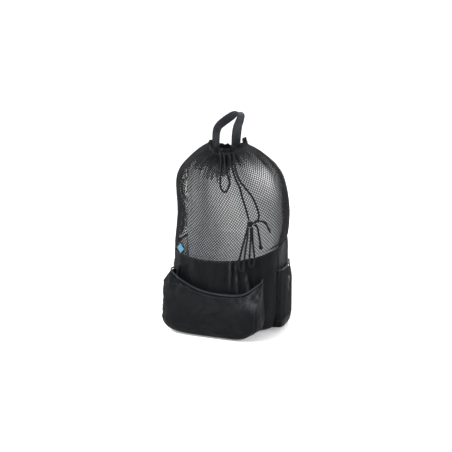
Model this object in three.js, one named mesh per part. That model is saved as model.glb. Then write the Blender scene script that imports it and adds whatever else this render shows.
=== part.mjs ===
// A mesh drawstring backpack, standing with its filled-out form and an open, hollow inside.
// Millimetres, +Z up. The front pocket faces -Y, and the origin is the middle of the base's underside.
import * as THREE from "three";

// Cloth and webbing, in mm
const NYLON_WALL = 2;
const HEM_WALL = 2.6;
const POCKET_WALL = 2;
const STRAP = { width: 30, thickness: 3.4 };
const HANDLE_BAND = { width: 32, thickness: 4 };
// Half of a band's section in shares of its half width and half thickness: flat, with softened edges
const BAND_EDGE = [[0.94, -1], [1, -0.5], [1, 0.5], [0.94, 1]];
const BAND_OUTLINE = [...BAND_EDGE, ...BAND_EDGE.map(([w, d]) => [-w, -d])];
const SEWN_GAP = 0.4; // between two pieces that are sewn edge to edge
const LAID_GAP = 1.1; // between a piece and the curved wall that it lies on
const UNDERSIDE_SHARE = 0.5; // how much of a pocket's wall its floor lies into that gap

// How finely the cloth is faceted
const AROUND = 64;
const TUB_ROWS = 4;
const NET_ROWS = 11;
const PLEATS = 16;

// The bag's outline from the floor to the mouth, a row for each section.
// square 2 is an ellipse and 3 is nearly a rounded box; pleat is the height of the gathers;
// saddle lifts the section's two sides and lowers its front and back; wall is the net's.
const BODY_SECTIONS = [
  { height: 0, halfWidth: 100, halfDepth: 60, square: 2.6, shiftX: 0, pleat: 0, saddle: 0, wall: 1.6 },
  { height: 4, halfWidth: 119, halfDepth: 78, square: 2.8, shiftX: 0, pleat: 0, saddle: 0, wall: 1.6 },
  { height: 13, halfWidth: 131, halfDepth: 90, square: 3, shiftX: 0, pleat: 0, saddle: 0, wall: 1.6 },
  { height: 36, halfWidth: 139, halfDepth: 98, square: 3.1, shiftX: 0, pleat: 0, saddle: 0, wall: 1.6 },
  { height: 90, halfWidth: 141, halfDepth: 100, square: 3, shiftX: 0, pleat: 0, saddle: 0, wall: 1.6 },
  { height: 150, halfWidth: 142, halfDepth: 101, square: 3, shiftX: 0, pleat: 0, saddle: 0, wall: 1.6 },
  { height: 210, halfWidth: 140, halfDepth: 101, square: 2.9, shiftX: 0, pleat: 0, saddle: 0, wall: 1.6 },
  { height: 290, halfWidth: 139, halfDepth: 102, square: 2.7, shiftX: 8, pleat: 0, saddle: 0, wall: 1.6 },
  { height: 360, halfWidth: 137, halfDepth: 101, square: 2.6, shiftX: 0, pleat: 0.6, saddle: 0, wall: 1.6 },
  { height: 398, halfWidth: 126, halfDepth: 95, square: 2.4, shiftX: -3, pleat: 1.4, saddle: 1, wall: 1.8 },
  { height: 424, halfWidth: 101, halfDepth: 82, square: 2.2, shiftX: -4, pleat: 2.4, saddle: 4, wall: 2.2 },
  { height: 441, halfWidth: 74, halfDepth: 66, square: 2, shiftX: -6, pleat: 3, saddle: 9, wall: 2.4 },
  { height: 449, halfWidth: 50, halfDepth: 46, square: 2, shiftX: -8, pleat: 3.2, saddle: 13, wall: 2.6 },
];

// The seam where the nylon tub ends and the net begins: it sags at the front and climbs to the back
// and the right.
const SEAM = { frontHeight: 188, frontDepth: -101, risePerDepth: 0.12, risePerWidth: 0.05, sag: 0.001 };

// The first rows of the table are the rounded foot of the nylon tub.
const FOOT_ROWS = 3;

// Folds and dents in the wall: each runs up the wall at an angle round the bag and sinks inwards.
const WALL_FOLDS = [
  { name: "valley between two bulges", angle: -108, halfAngle: 9, depth: 7, low: 150, high: 430 },
  { name: "crease under the bow", angle: -62, halfAngle: 5, depth: 3.2, low: 80, high: 230 },
  { name: "crease beside it", angle: -79, halfAngle: 5, depth: 2.6, low: 80, high: 215 },
  { name: "crease towards the side", angle: -46, halfAngle: 5, depth: 2.4, low: 90, high: 220 },
];

// Mouth hem that the drawcord runs in, a row for each ring up it.
const HEM_RINGS = [
  { rise: 0, outward: 0, pleatScale: 1 },
  { rise: 7, outward: -3, pleatScale: 0.9 },
  { rise: 13, outward: -3.5, pleatScale: 1 },
  { rise: 18, outward: -3, pleatScale: 1.2 },
];

// Front pocket: a boxed pouch whose corners stand out below a top edge that lies back to the wall.
const FRONT_POCKET = { halfWidth: 128, shiftX: -8, front: -147, squareness: 6, steps: 30 };
// Along the pocket from its left end to its right end: how high its top edge and its lower edge are,
// how much of its corner it has there, how much of its flare, and how much narrower it is where its ends
// are sewn to the wall.
const POCKET_EDGES = [
  { top: 153, foot: 20, corner: 1, spread: 1, tuck: 13 },
  { top: 147, foot: 9, corner: 1, spread: 1, tuck: 13 },
  { top: 126, foot: 0, corner: 0.3, spread: 1, tuck: 10 },
  { top: 108, foot: -1, corner: 0, spread: 1, tuck: 8 },
  { top: 103, foot: -1, corner: 0, spread: 0.8, tuck: 6 },
  { top: 108, foot: 0, corner: 0.2, spread: 0.6, tuck: 4 },
  { top: 132, foot: 20, corner: 1, spread: 0.4, tuck: 4 },
  { top: 144, foot: 30, corner: 1, spread: 0.3, tuck: 5 },
];
// Down the pocket from its top edge: fall is a share of its height; middle and corner say how far out
// it stands, and flare widens it towards its foot. under is 1 where its wall lies flat as a floor,
// and rise lifts that floor to the seam under the bag.
const POUCH_PROFILE = [
  { fall: 0, middle: 0.24, corner: 0.42, flare: -3, under: 0, rise: 0 },
  { fall: 0.08, middle: 0.45, corner: 0.68, flare: -2, under: 0, rise: 0 },
  { fall: 0.22, middle: 0.72, corner: 0.93, flare: 0, under: 0, rise: 0 },
  { fall: 0.42, middle: 0.92, corner: 1, flare: 4, under: 0, rise: 0 },
  { fall: 0.62, middle: 1, corner: 1, flare: 8, under: 0, rise: 0 },
  { fall: 0.82, middle: 1, corner: 1, flare: 13, under: 0, rise: 0 },
  { fall: 0.92, middle: 0.95, corner: 0.93, flare: 10, under: 0.3, rise: 0 },
  { fall: 0.965, middle: 0.84, corner: 0.78, flare: 6, under: 0.8, rise: 0 },
  { fall: 0.98, middle: 0.6, corner: 0.55, flare: -1, under: 1, rise: 0 },
  { fall: 0.99, middle: 0.3, corner: 0.25, flare: -6, under: 1, rise: 0.04 },
  { fall: 1, middle: 0, corner: 0, flare: -8, under: 1, rise: 0.12 },
];

// Net bottle pockets on the two sides, with an elastic top hem
const SIDE_POCKET = { from: -16, to: 37, steps: 11, reach: 8, top: 158, gusset: 0.2, wall: 1.6 };
const SIDE_PROFILE = [
  { fall: 0, out: 0.8, under: 0 },
  { fall: 0.15, out: 0.9, under: 0 },
  { fall: 0.4, out: 1, under: 0 },
  { fall: 0.65, out: 1.1, under: 0 },
  { fall: 0.78, out: 1.25, under: 0 },
  { fall: 0.88, out: 1.8, under: 0 },
  { fall: 0.925, out: 2.1, under: 0.5 },
  { fall: 0.94, out: 1.2, under: 1 },
  { fall: 0.95, out: 0, under: 1 },
];
// The binding folded over a pocket's top edge: how high it is and how much it adds on each face.
const BINDING = { height: 5, face: 0.4 };

// Grab handle: a webbing loop over the mouth, with the twist of its band.
const HANDLE_PATH = [
  { x: -40, y: 1, z: 452, twist: -10 },
  { x: -40, y: 2, z: 482, twist: -14 },
  { x: -37, y: 5, z: 499, twist: -20 },
  { x: -27, y: 8, z: 511, twist: -30 },
  { x: -10, y: 11, z: 524, twist: -32 },
  { x: 4, y: 14, z: 534, twist: -24 },
  { x: 14, y: 16, z: 538, twist: -6 },
  { x: 21, y: 15, z: 532, twist: 10 },
  { x: 19, y: 12, z: 519, twist: 19 },
  { x: 15, y: 8, z: 505, twist: 24 },
  { x: 13, y: 4, z: 485, twist: 26 },
  { x: 12, y: 1, z: 452, twist: 22 },
];

// Shoulder strap on the right half of the back; the other one mirrors it.
// turn lays its width along the wall.
const STRAP_PATH = [
  { x: 25, y: 53, z: 445, turn: 0 },
  { x: 32, y: 77, z: 437, turn: 0 },
  { x: 44, y: 106, z: 413, turn: 0 },
  { x: 55, y: 127, z: 375, turn: 0 },
  { x: 63, y: 141, z: 322, turn: 0 },
  { x: 68, y: 144.8, z: 260, turn: 2 },
  { x: 71, y: 138, z: 180, turn: 6 },
  { x: 75, y: 120, z: 100, turn: 11 },
  { x: 78, y: 99.5, z: 42, turn: 15 },
];

// Drawcord, 5 mm thick: the routes of its strands from the mouth hem to the knot and of the bow below it.
const CORD = { diameter: 5, sides: 8, stepLength: 13 };
const KNOT = { centre: [85, -101.8, 286], size: [7.4, 6.2, 7.2] };
const TIP_KNOT = { centre: [108.6, -89.1, 228], size: [3.8, 3.8, 4.4] };
const CORD_ROUTES = {
  cord_strand_left: [
    [9, -46.3, 444], [15, -55.3, 445], [22, -67.3, 439], [32, -84.3, 420.5], [43, -94.8, 400],
    [50, -98.8, 387], [59, -100.8, 372], [66, -101.8, 348], [73, -101.8, 328], [79, -100.8, 305],
    [82.5, -100.8, 294.5],
  ],
  cord_strand_right: [
    [15.5, -43.3, 444], [23, -52.3, 445.5], [32, -66.3, 439], [40, -83.3, 422], [49, -93.8, 403],
    [59, -97.8, 387], [73, -97.3, 370], [86, -93.8, 353], [95, -91.8, 335], [101, -90.8, 319],
    [104, -90.8, 304], [101, -92.8, 295], [93.5, -96.3, 290.5],
  ],
  cord_bight: [
    [-11.5, -47.8, 444], [-8, -56.3, 445], [0, -70.3, 437.5], [6, -86.3, 420.5], [9, -98.8, 396],
    [11, -104.3, 375], [19, -106.3, 361], [29, -105.8, 365], [34, -102.8, 381], [29.5, -99.3, 396],
    [21.5, -94.8, 408.5], [15, -83.3, 425], [8, -69.3, 439.5], [0, -56.3, 446], [-4.5, -47.8, 444],
  ],
  bow_loop_left: [
    [79.5, -100.8, 279], [74, -101.8, 257], [67.5, -102.8, 232], [61.5, -103.8, 207], [57.5, -104.3, 187],
    [60, -104.8, 174], [66, -104.8, 170], [70.5, -104.8, 179], [72.5, -104.8, 197], [75.5, -105.3, 225],
    [80, -106.3, 252], [81.5, -106.8, 277.5],
  ],
  bow_loop_right: [
    [90, -100.3, 279], [90.5, -98.8, 262], [91, -98.3, 245], [93, -96.8, 222], [95, -95.8, 203],
    [93.5, -96.8, 187], [88.5, -99.3, 180], [84, -100.8, 188], [84.5, -101.8, 207], [86.5, -102.8, 232],
    [88, -103.8, 256], [88, -106.8, 277.5],
  ],
  cord_end_right: [
    [93, -104.3, 289.5], [100, -100.8, 292], [107, -94.8, 294], [114.5, -88.3, 291], [120, -83.8, 285],
    [124.5, -79.8, 274], [128, -75.8, 263],
  ],
  cord_end_left: [
    [94, -99.8, 284], [98.5, -96.8, 282.5], [102, -94.8, 276], [104, -93.3, 264], [106.5, -91.3, 248],
    [108.2, -89.8, 233],
  ],
};

// Plain label sewn on the net above the seam: its place is found on the wall at an angle and a height.
const LABEL = { angle: -127, height: 208, width: 20, length: 21, thickness: 1.2, lean: 45, standOff: 2 };

const cloth = (name, color, roughness) => new THREE.MeshStandardMaterial({ name, color, roughness });
const BLACK_NYLON = cloth("black_nylon", 0x232428, 0.72);
const BLACK_NET = cloth("black_net", 0x1d1f23, 0.8);
const BLACK_WEBBING = cloth("black_webbing", 0x202329, 0.78);
const BLACK_CORD = cloth("black_cord", 0x18191c, 0.7);
const BLUE_LABEL = cloth("blue_label", 0x8fc4dc, 0.6);

const { clamp, degToRad, lerp, smoothstep } = THREE.MathUtils;

// Smooth curve through a table: place 0 is the first row, and 1.5 lies between the second and the third.
function rowAt(table, place) {
  const first = clamp(Math.floor(place), 0, table.length - 2);
  const share = place - first;
  const row = (k) => table[clamp(k, 0, table.length - 1)];
  const mixed = {};
  for (const column of Object.keys(table[0])) {
    const [a, b, c, d] = [-1, 0, 1, 2].map((k) => row(first + k)[column]);
    const square = (2 * a - 5 * b + 4 * c - d) * share ** 2;
    const cube = (3 * b - a - 3 * c + d) * share ** 3;
    mixed[column] = b + ((c - a) * share + square + cube) / 2;
  }
  return mixed;
}

// The place in the body's table whose section is at this height
function placeAtHeight(height) {
  let [low, high] = [0, BODY_SECTIONS.length - 1];
  while (high - low > 1e-4) {
    const middle = (low + high) / 2;
    if (rowAt(BODY_SECTIONS, middle).height < height) low = middle;
    else high = middle;
  }
  return low;
}

const signedPower = (value, power) => Math.sign(value) * Math.abs(value) ** power;

// How far the folds draw the wall in, at an angle round the bag and a height
function foldDepth(angle, height) {
  return WALL_FOLDS.reduce((sum, fold) => {
    const across = Math.exp(-(((angle - degToRad(fold.angle)) / degToRad(fold.halfAngle)) ** 2));
    const edge = (fold.high - fold.low) / 3;
    const begun = smoothstep(height, fold.low, fold.low + edge);
    const ended = smoothstep(height, fold.high - edge, fold.high);
    return sum + fold.depth * across * begun * (1 - ended);
  }, 0);
}

// A point of the body's wall on one section. Angle 0 is the right side and -90 degrees the front.
function sectionPoint(section, angle, outward) {
  const pleat = section.pleat * Math.cos(PLEATS * angle);
  const grow = outward + pleat - foldDepth(angle, section.height);
  const power = 2 / section.square;
  const x = (section.halfWidth + grow) * signedPower(Math.cos(angle), power);
  const y = (section.halfDepth + grow) * signedPower(Math.sin(angle), power);
  return new THREE.Vector3(section.shiftX + x, y, section.height + section.saddle * Math.cos(2 * angle));
}

const wallPoint = (angle, height, outward) =>
  sectionPoint(rowAt(BODY_SECTIONS, placeAtHeight(height)), angle, outward);

function seamHeight(angle) {
  const { frontHeight, frontDepth, risePerDepth, risePerWidth, sag } = SEAM;
  const { x, y } = wallPoint(angle, frontHeight, 0);
  return frontHeight + risePerDepth * (y - frontDepth) + risePerWidth * x + sag * x ** 2;
}

const angles = (count) => Array.from({ length: count }, (_, i) => (2 * Math.PI * i) / count - Math.PI);
const steps = (count) => Array.from({ length: count + 1 }, (_, i) => i / count);

// Collects triangles on shared points and gives a geometry
class Facets {
  points = [];
  faces = [];
  add(point) {
    this.points.push(point.x, point.y, point.z);
    return this.points.length / 3 - 1;
  }
  addRow(row) {
    return row.map((point) => this.add(point));
  }
  quad(a, b, c, d) {
    this.faces.push(a, b, c, a, c, d);
  }
  // Joins two rows of point numbers; a closed row runs round to its start
  strip(low, high, closed) {
    const count = closed ? low.length : low.length - 1;
    for (let i = 0; i < count; i++) {
      const next = (i + 1) % low.length;
      this.quad(low[i], low[next], high[next], high[i]);
    }
  }
  fan(row, centre) {
    row.forEach((point, i) => this.faces.push(point, row[(i + 1) % row.length], centre));
  }
  geometry() {
    const made = new THREE.BufferGeometry();
    made.setAttribute("position", new THREE.Float32BufferAttribute(this.points, 3));
    made.setIndex(this.faces);
    made.computeVertexNormals();
    return made;
  }
}

// A wall between two stacks of rings that run anticlockwise from above, open at both ends
function ringWall(outerRings, innerRings) {
  const facets = new Facets();
  const outer = outerRings.map((ring) => facets.addRow(ring));
  const inner = innerRings.map((ring) => facets.addRow(ring));
  const last = outer.length - 1;
  for (let k = 0; k < last; k++) {
    facets.strip(outer[k], outer[k + 1], true);
    facets.strip(inner[k + 1], inner[k], true);
  }
  facets.strip(outer[last], inner[last], true);
  facets.strip(inner[0], outer[0], true);
  return facets.geometry();
}

// A wall between two grids of rows from the bottom up, with all four edges closed
function patchWall(outerRows, innerRows) {
  const facets = new Facets();
  const outer = outerRows.map((row) => facets.addRow(row));
  const inner = innerRows.map((row) => facets.addRow(row));
  const last = outer.length - 1;
  const end = outer[0].length - 1;
  for (let k = 0; k < last; k++) {
    facets.strip(outer[k], outer[k + 1], false);
    facets.strip(inner[k + 1], inner[k], false);
    facets.quad(inner[k][0], outer[k][0], outer[k + 1][0], inner[k + 1][0]);
    facets.quad(outer[k][end], inner[k][end], inner[k + 1][end], outer[k + 1][end]);
  }
  facets.strip(outer[last], inner[last], false);
  facets.strip(inner[0], outer[0], false);
  return facets.geometry();
}

// A band of webbing along a path: its width lies along across(), turned by the twist
function bandAlong(path, band, across) {
  const centres = path.map((row) => new THREE.Vector3(row.x, row.y, row.z));
  const facets = new Facets();
  const rings = path.map((row, i) => {
    const before = centres[Math.max(i - 1, 0)];
    const after = centres[Math.min(i + 1, centres.length - 1)];
    const along = after.clone().sub(before).normalize();
    const width = across(row).projectOnPlane(along).normalize();
    width.applyAxisAngle(along, degToRad(row.twist ?? 0));
    const depth = along.clone().cross(width).multiplyScalar(band.thickness / 2);
    width.multiplyScalar(band.width / 2);
    const corner = ([w, d]) => centres[i].clone().addScaledVector(width, w).addScaledVector(depth, d);
    return facets.addRow(BAND_OUTLINE.map(corner));
  });
  for (let i = 0; i + 1 < rings.length; i++) facets.strip(rings[i], rings[i + 1], true);
  facets.fan([...rings[0]].reverse(), facets.add(centres[0]));
  facets.fan(rings[rings.length - 1], facets.add(centres[centres.length - 1]));
  return facets.geometry();
}

const smoothPath = (table, count) =>
  steps(count).map((share) => rowAt(table, share * (table.length - 1)));

function baseTub() {
  const facets = new Facets();
  const ring = (placeOf, inside) =>
    facets.addRow(
      angles(AROUND).map((angle) => {
        const section = rowAt(BODY_SECTIONS, placeOf(angle));
        const flat = 1 - smoothstep(section.height, 0, BODY_SECTIONS[FOOT_ROWS].height);
        const point = sectionPoint(section, angle, inside ? -NYLON_WALL : 0);
        return inside ? point.setZ(point.z + NYLON_WALL * flat) : point;
      }),
    );
  const foot = Array.from({ length: FOOT_ROWS }, (_, place) => () => place);
  const seamPlace = (angle) => placeAtHeight(seamHeight(angle));
  const sides = steps(TUB_ROWS).map((share) => (angle) => lerp(FOOT_ROWS, seamPlace(angle), share));
  const outer = [...foot, ...sides].map((placeOf) => ring(placeOf, false));
  const inner = [...foot, ...sides].map((placeOf) => ring(placeOf, true));
  const last = outer.length - 1;
  for (let k = 0; k < last; k++) {
    facets.strip(outer[k], outer[k + 1], true);
    facets.strip(inner[k + 1], inner[k], true);
  }
  facets.strip(outer[last], inner[last], true);
  facets.fan([...outer[0]].reverse(), facets.add(new THREE.Vector3(0, 0, 0)));
  facets.fan(inner[0], facets.add(new THREE.Vector3(0, 0, NYLON_WALL)));
  return facets.geometry();
}

function netBody() {
  const last = BODY_SECTIONS.length - 1;
  const ring = (share, inside) =>
    angles(AROUND).map((angle) => {
      const start = placeAtHeight(seamHeight(angle) + SEWN_GAP);
      const section = rowAt(BODY_SECTIONS, lerp(start, last, share));
      return sectionPoint(section, angle, inside ? -section.wall : 0);
    });
  const shares = steps(NET_ROWS);
  return ringWall(shares.map((share) => ring(share, false)), shares.map((share) => ring(share, true)));
}

function mouthHem() {
  const neck = BODY_SECTIONS[BODY_SECTIONS.length - 1];
  const ring = (row, inside) => {
    const height = neck.height + SEWN_GAP + row.rise;
    const section = { ...neck, height, pleat: neck.pleat * row.pleatScale };
    const outward = row.outward - (inside ? HEM_WALL : 0);
    return angles(AROUND).map((angle) => sectionPoint(section, angle, outward));
  };
  return ringWall(HEM_RINGS.map((row) => ring(row, false)), HEM_RINGS.map((row) => ring(row, true)));
}

// Where the wall's front is at a distance across the bag and a height, with a gap to what is sewn on
function frontWall(across, height, gap) {
  const section = rowAt(BODY_SECTIONS, placeAtHeight(height));
  const share = clamp(Math.abs(across - section.shiftX) / (section.halfWidth + gap), 0, 1);
  return -(section.halfDepth + gap) * (1 - share ** section.square) ** (1 / section.square);
}

// Rows of the front pocket's wall from its lower edge to its top edge, at a depth inside its outer face
function frontPocketRows(inside) {
  const { halfWidth, shiftX, front, squareness } = FRONT_POCKET;
  return [...POUCH_PROFILE].reverse().map((row) =>
    steps(FRONT_POCKET.steps).map((share) => {
      const across = Math.sin(Math.PI * (share - 0.5));
      const bow = (1 - Math.abs(across) ** squareness) ** (1 / squareness);
      const edge = rowAt(POCKET_EDGES, share * (POCKET_EDGES.length - 1));
      const raised = inside * row.under * bow;
      const set = inside - raised;
      const height = lerp(edge.top, edge.foot, row.fall - row.rise * bow) + raised;
      const gap = LAID_GAP + POCKET_WALL * (1 - UNDERSIDE_SHARE * row.under * bow) - set;
      const reach = halfWidth + row.flare * edge.spread - set;
      const x = shiftX + (reach - edge.tuck * (1 - bow)) * across;
      const laid = frontWall(x, height, gap);
      const end = frontWall(shiftX + (reach - edge.tuck) * Math.sign(across), height, gap);
      const boxed = lerp(end, front + set, bow);
      const out = lerp(row.middle, row.corner, clamp(edge.corner, 0, 1));
      return new THREE.Vector3(x, Math.min(lerp(laid, boxed, out), laid), height);
    }),
  );
}
const frontPocket = () => patchWall(frontPocketRows(0), frontPocketRows(POCKET_WALL));

// Rows of a side pocket's wall from its lower edge to its top edge
function sidePocketRows(inside) {
  return [...SIDE_PROFILE].reverse().map(({ fall, out, under }) =>
    steps(SIDE_POCKET.steps).map((share) => {
      const fromEnd = Math.min(share, 1 - share) / SIDE_POCKET.gusset;
      const swell = fromEnd >= 1 ? 1 : Math.sqrt(1 - (1 - fromEnd) ** 2);
      const angle = degToRad(lerp(SIDE_POCKET.from, SIDE_POCKET.to, share));
      const upright = 1 - under * swell;
      const standOff = LAID_GAP + (SIDE_POCKET.wall - inside) * upright + SIDE_POCKET.reach * out * swell;
      return wallPoint(angle, SIDE_POCKET.top * (1 - fall) + inside * (1 - upright), standOff);
    }),
  );
}
const sidePocket = () => patchWall(sidePocketRows(0), sidePocketRows(SIDE_POCKET.wall));

// A strip folded over the top edge of a pocket whose rows are given
function binding(outerRows, innerRows) {
  const outerEdge = outerRows[outerRows.length - 1];
  const innerEdge = innerRows[innerRows.length - 1];
  const row = (rise, face) =>
    outerEdge.map((outer, i) => {
      const across = outer.clone().sub(innerEdge[i]).setZ(0).normalize();
      const point = (face > 0 ? outer : innerEdge[i]).clone().addScaledVector(across, face * BINDING.face);
      return point.setZ(point.z + rise);
    });
  const rises = [SEWN_GAP, SEWN_GAP + BINDING.height];
  return patchWall(rises.map((rise) => row(rise, 1)), rises.map((rise) => row(rise, -1)));
}
const frontPocketBinding = () => binding(frontPocketRows(0), frontPocketRows(POCKET_WALL));
const sidePocketHem = () => binding(sidePocketRows(0), sidePocketRows(SIDE_POCKET.wall));

function grabHandle() {
  return bandAlong(smoothPath(HANDLE_PATH, 26), HANDLE_BAND, () => new THREE.Vector3(0, 1, 0));
}

// side is 1 on the right and -1 on the left
function shoulderStrap(side) {
  const path = smoothPath(STRAP_PATH, 22).map((row) => {
    const { shiftX } = rowAt(BODY_SECTIONS, placeAtHeight(row.z));
    return { ...row, x: shiftX + side * row.x };
  });
  const across = ({ turn }) => {
    const angle = degToRad(turn);
    return new THREE.Vector3(Math.cos(angle), -side * Math.sin(angle), 0);
  };
  return bandAlong(path, STRAP, across);
}

// The same piece on the other side of the bag
function mirrored(geometry) {
  const made = geometry.clone().scale(-1, 1, 1);
  const index = made.getIndex().array;
  for (let i = 0; i < index.length; i += 3) [index[i], index[i + 1]] = [index[i + 1], index[i]];
  made.computeVertexNormals();
  return made;
}

function cord(route) {
  const path = new THREE.CatmullRomCurve3(route.map((point) => new THREE.Vector3(...point)));
  const middle = new THREE.Vector2();
  const corner = (turn) => new THREE.Vector2(CORD.diameter / 2, 0).rotateAround(middle, turn);
  const round = new THREE.Shape(angles(CORD.sides).map(corner));
  return new THREE.ExtrudeGeometry(round, {
    steps: Math.round(path.getLength() / CORD.stepLength),
    extrudePath: path,
    bevelEnabled: false,
  });
}

const knot = ({ centre, size }) => new THREE.SphereGeometry(1, 10, 6).scale(...size).translate(...centre);

function label() {
  const angle = degToRad(LABEL.angle);
  const place = wallPoint(angle, LABEL.height, LABEL.standOff + LABEL.thickness / 2);
  const beside = wallPoint(angle + 0.02, LABEL.height, LABEL.standOff + LABEL.thickness / 2);
  const along = beside.sub(place).setZ(0).normalize();
  const up = new THREE.Vector3(0, 0, 1);
  const out = along.clone().cross(up);
  const plate = new THREE.BoxGeometry(LABEL.width, LABEL.length, LABEL.thickness);
  plate.rotateZ(degToRad(LABEL.lean));
  plate.applyMatrix4(new THREE.Matrix4().makeBasis(along, up, out).setPosition(place));
  return plate;
}

const bag = new THREE.Group();
function add(name, geometry, material) {
  const made = new THREE.Mesh(geometry, material);
  made.name = name;
  bag.add(made);
}

add("base_tub", baseTub(), BLACK_NYLON);
add("net_body", netBody(), BLACK_NET);
add("mouth_hem", mouthHem(), BLACK_NYLON);
add("front_pocket", frontPocket(), BLACK_NYLON);
add("front_pocket_binding", frontPocketBinding(), BLACK_WEBBING);
add("side_pocket_right", sidePocket(), BLACK_NET);
add("side_pocket_right_hem", sidePocketHem(), BLACK_WEBBING);
add("side_pocket_left", mirrored(sidePocket()), BLACK_NET);
add("side_pocket_left_hem", mirrored(sidePocketHem()), BLACK_WEBBING);
add("grab_handle", grabHandle(), BLACK_WEBBING);
add("shoulder_strap_right", shoulderStrap(1), BLACK_WEBBING);
add("shoulder_strap_left", shoulderStrap(-1), BLACK_WEBBING);
add("label_tab", label(), BLUE_LABEL);
for (const [name, route] of Object.entries(CORD_ROUTES)) add(name, cord(route), BLACK_CORD);
add("cord_knot", knot(KNOT), BLACK_CORD);
add("cord_tip_knot", knot(TIP_KNOT), BLACK_CORD);

export default bag;
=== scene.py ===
import math
import bmesh
import bpy
import numpy as np
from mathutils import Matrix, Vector, kdtree, noise
from mathutils.bvhtree import BVHTree


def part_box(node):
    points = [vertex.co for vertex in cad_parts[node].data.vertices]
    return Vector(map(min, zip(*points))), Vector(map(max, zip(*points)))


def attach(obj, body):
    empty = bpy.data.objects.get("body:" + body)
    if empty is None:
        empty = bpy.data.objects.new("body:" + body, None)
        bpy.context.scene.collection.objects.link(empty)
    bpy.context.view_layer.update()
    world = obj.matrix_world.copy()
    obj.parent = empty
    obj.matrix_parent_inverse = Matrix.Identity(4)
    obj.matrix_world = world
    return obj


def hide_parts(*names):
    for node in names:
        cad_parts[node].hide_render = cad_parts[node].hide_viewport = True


# Mesh drawstring backpack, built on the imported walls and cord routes, in metres
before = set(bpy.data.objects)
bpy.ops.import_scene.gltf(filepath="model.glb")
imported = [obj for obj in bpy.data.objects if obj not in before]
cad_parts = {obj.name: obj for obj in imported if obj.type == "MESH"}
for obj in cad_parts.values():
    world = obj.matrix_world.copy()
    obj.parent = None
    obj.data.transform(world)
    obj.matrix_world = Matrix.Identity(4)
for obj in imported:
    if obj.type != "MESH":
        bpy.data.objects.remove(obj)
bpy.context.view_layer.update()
scene = bpy.context.scene
mm = 0.001
tiny = 0.001 * mm
print("frame loaded")


# Small helpers for lines and walls

def catmull(rows, stepsEach):
    # smooth curve through the rows of a table
    rows = np.asarray(rows, float)
    padded = np.concatenate([rows[:1], rows, rows[-1:]])
    share = np.linspace(0, 1, stepsEach, endpoint=False)[:, None]
    pieces = []
    for a, b, c, d in zip(padded, padded[1:], padded[2:], padded[3:]):
        square = (2 * a - 5 * b + 4 * c - d) * share ** 2
        cube = (3 * b - a - 3 * c + d) * share ** 3
        pieces.append(b + ((c - a) * share + square + cube) / 2)
    return np.concatenate([*pieces, rows[-1:]])


def lengthAlong(line):
    return np.concatenate([[0], np.cumsum(np.linalg.norm(np.diff(line, axis=0), axis=1))])


def pointsAt(line, shares):
    # points at shares of a line's length
    along = lengthAlong(line)
    places = np.asarray(shares) * along[-1]
    return np.stack([np.interp(places, along, line[:, k]) for k in range(3)], axis=1)


def unit(rows):
    # each row made one long
    return rows / np.maximum(np.linalg.norm(rows, axis=1), tiny)[:, None]


def ramp(values, low, high):
    # 0 below low, 1 above high and a soft step between
    share = np.clip((values - low) / (high - low), 0, 1)
    return share * share * (3 - 2 * share)


def addPiece(name, points, faces=(), edges=()):
    mesh = bpy.data.meshes.new(name)
    mesh.from_pydata(np.asarray(points).tolist(), list(edges), list(faces))
    mesh.update()
    piece = bpy.data.objects.new(name, mesh)
    scene.collection.objects.link(piece)
    return piece


def tubeFaces(rings, sides):
    # faces of a tube with closed ends, from rings of points
    faces = []
    for low in range(0, (rings - 1) * sides, sides):
        for k in range(sides):
            after = (k + 1) % sides
            faces.append((low + k, low + after, low + sides + after, low + sides + k))
    last = (rings - 1) * sides
    faces.append(tuple(reversed(range(sides))))
    faces.append(tuple(range(last, last + sides)))
    return faces


def plainMesh(piece):
    # the evaluated piece becomes its own mesh, and its modifiers go
    bpy.context.view_layer.update()
    seen = piece.evaluated_get(bpy.context.evaluated_depsgraph_get())
    done = bpy.data.meshes.new_from_object(seen)
    old = piece.data
    piece.modifiers.clear()
    piece.data = done
    bpy.data.meshes.remove(old)
    done.name = piece.name
    return piece


def softCopy(nodeName, pieceName, levels, crisp=0, merge=0.02 * mm, sharpFrom=35):
    # a packed wall as quads, rounded off; crisp keeps its edges that are sharper than some degrees
    shape = bmesh.new()
    shape.from_mesh(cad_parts[nodeName].data)
    bmesh.ops.remove_doubles(shape, verts=shape.verts, dist=merge)
    quarter = math.pi / 2
    bmesh.ops.join_triangles(shape, faces=shape.faces, angle_face_threshold=quarter,
                             angle_shape_threshold=quarter)
    crease = shape.edges.layers.float.new("crease_edge")
    for edge in shape.edges:
        edge[crease] = crisp if edge.calc_face_angle(0) > math.radians(sharpFrom) else 0
    mesh = bpy.data.meshes.new(pieceName)
    shape.to_mesh(mesh)
    shape.free()
    mesh.materials.clear()
    piece = bpy.data.objects.new(pieceName, mesh)
    scene.collection.objects.link(piece)
    rounder = piece.modifiers.new("rounder", "SUBSURF")
    rounder.levels = levels
    rounder.render_levels = levels
    plainMesh(piece)
    piece.data.shade_smooth()
    return piece


def meshPoints(piece):
    flat = np.empty(len(piece.data.vertices) * 3)
    piece.data.vertices.foreach_get("co", flat)
    return flat.reshape(-1, 3)


def setPoints(piece, points):
    piece.data.vertices.foreach_set("co", points.ravel())
    piece.data.update()


def setPaintedHighlight(piece, amounts):
    # painted highlight: how much paler the cloth is drawn at each point
    layer = piece.data.attributes.new("rubbedAndHighlight", "FLOAT", "POINT")
    layer.data.foreach_set("value", np.clip(amounts, 0, 1))


def treeOf(piece):
    mesh = piece.data
    return BVHTree.FromPolygons([v.co for v in mesh.vertices], [p.vertices for p in mesh.polygons])


def outerHit(tree, axis, angle, height, reach=0.4):
    # outermost point of a wall seen from an upright axis
    out = Vector((math.cos(angle), math.sin(angle), 0))
    return tree.ray_cast(Vector((*axis, height)) + out * reach, -out, reach)[0]


lineStep = 0.5 * mm


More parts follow.
